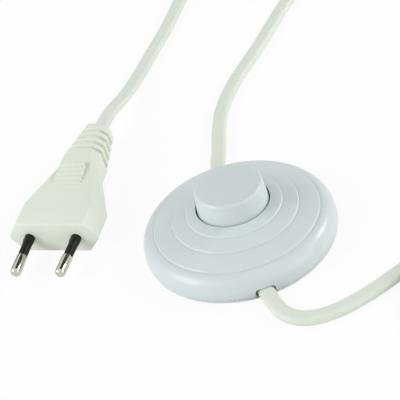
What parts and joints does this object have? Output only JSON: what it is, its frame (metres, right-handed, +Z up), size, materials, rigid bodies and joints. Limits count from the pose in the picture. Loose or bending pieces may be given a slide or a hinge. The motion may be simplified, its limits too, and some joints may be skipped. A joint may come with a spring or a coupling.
{
  "type": "lamp foot switch",
  "caption": "round stepped foot switch with a central push button, in line on a flat two-core cord with a moulded two-pin plug and a stripped lamp end",
  "frame": {"origin": "middle of the switch's underside, on the floor", "axes": "+Z up through the push button, +Y towards the supply cord's entry, -Y towards the lamp cord's exit"},
  "size_m": [0.1992, 0.3198, 0.0243],
  "materials": {
    "cover": "moulded, fine satin",
    "base": "moulded, fine satin",
    "button": "moulded, fine satin",
    "rotor": "moulded",
    "spring": "drawn wire",
    "brass": "stamped and machined",
    "screw": "zinc plated",
    "clamp": "moulded",
    "live_core": "smooth insulation",
    "neutral_core": "smooth insulation",
    "copper": "stranded copper",
    "plug": "moulded, soft satin",
    "pin": "nickel plated",
    "sleeve": "moulded",
    "cord": "smooth extruded jacket",
    "tie": "soft strip"
  },
  "bodies": {
    "housing": {"cover_shell": "cover", "base_plate": "base", "return_spring": "spring", "supply_live_contact": "brass", "lamp_live_contact": "brass", "neutral_connector": "brass", "terminal_screws": "screw", "supply_cord_clamp": "clamp", "lamp_cord_clamp": "clamp", "clamp_screws": "screw", "housing_screws": "screw", "supply_live_core": "live_core", "supply_neutral_core": "neutral_core", "lamp_live_core": "live_core", "lamp_neutral_core": "neutral_core", "copper_ends": "copper", "plug_body": "plug", "left_pin": "pin", "right_pin": "pin", "left_pin_sleeve": "sleeve", "right_pin_sleeve": "sleeve", "plug_lead": "cord", "supply_coil": "cord", "supply_coil_ties": "tie", "inlet_lead": "cord", "lamp_lead": "cord", "lamp_coil": "cord", "lamp_coil_ties": "tie", "lamp_tail": "cord", "tail_live_core": "live_core", "tail_neutral_core": "neutral_core", "tail_copper_ends": "copper"},
    "button": {"push_button": "button"},
    "rotor": {"ratchet_rotor": "rotor", "contact_bridge": "brass"}
  },
  "joints": [
    {"name": "button_press", "type": "slide", "parent": "housing", "child": "button", "axis": [0, 0, -1], "range_m": [0, 0.004], "stiffness_N_per_m": 1500, "springref_m": -0.002, "deforming": ["return_spring"]},
    {"name": "rotor_index", "type": "hinge", "parent": "housing", "child": "rotor", "pos_m": [0, 0, 0.0034], "axis": [0, 0, 1], "range_deg": [0, 45]}
  ],
  "couplings": [
    {"joint": "rotor_index", "follows": "button_press", "rad_per_m": 196}
  ]
}
